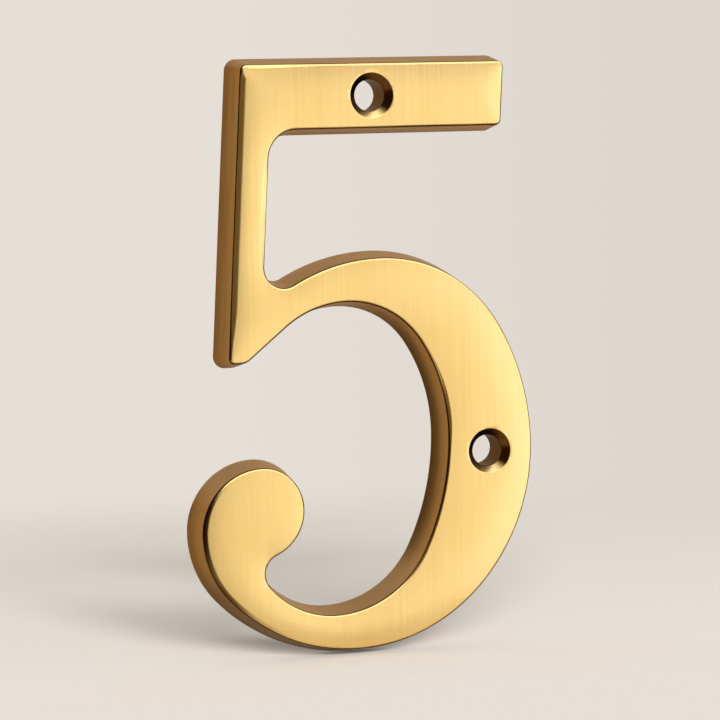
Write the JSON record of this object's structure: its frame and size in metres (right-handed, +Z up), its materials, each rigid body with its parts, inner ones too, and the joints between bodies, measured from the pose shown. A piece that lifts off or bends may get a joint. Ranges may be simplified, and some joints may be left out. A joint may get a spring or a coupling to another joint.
{
  "type": "door number",
  "caption": "Cast brass door number in the shape of a 5, with drafted walls, rolled face edges and countersunk screw holes through the bar and the bowl.",
  "frame": {"origin": "midway between the two screw holes, on the flat back that lies against the door", "axes": "+X to the right and +Z up as the figure is read, +Y through the casting from its face towards the door"},
  "size_m": [0.0624, 0.0064, 0.1019],
  "materials": {
    "brass": "polished face with fine brush marks, darker satin walls"
  },
  "bodies": {
    "root": {"figure_five": "brass"}
  },
  "joints": []
}
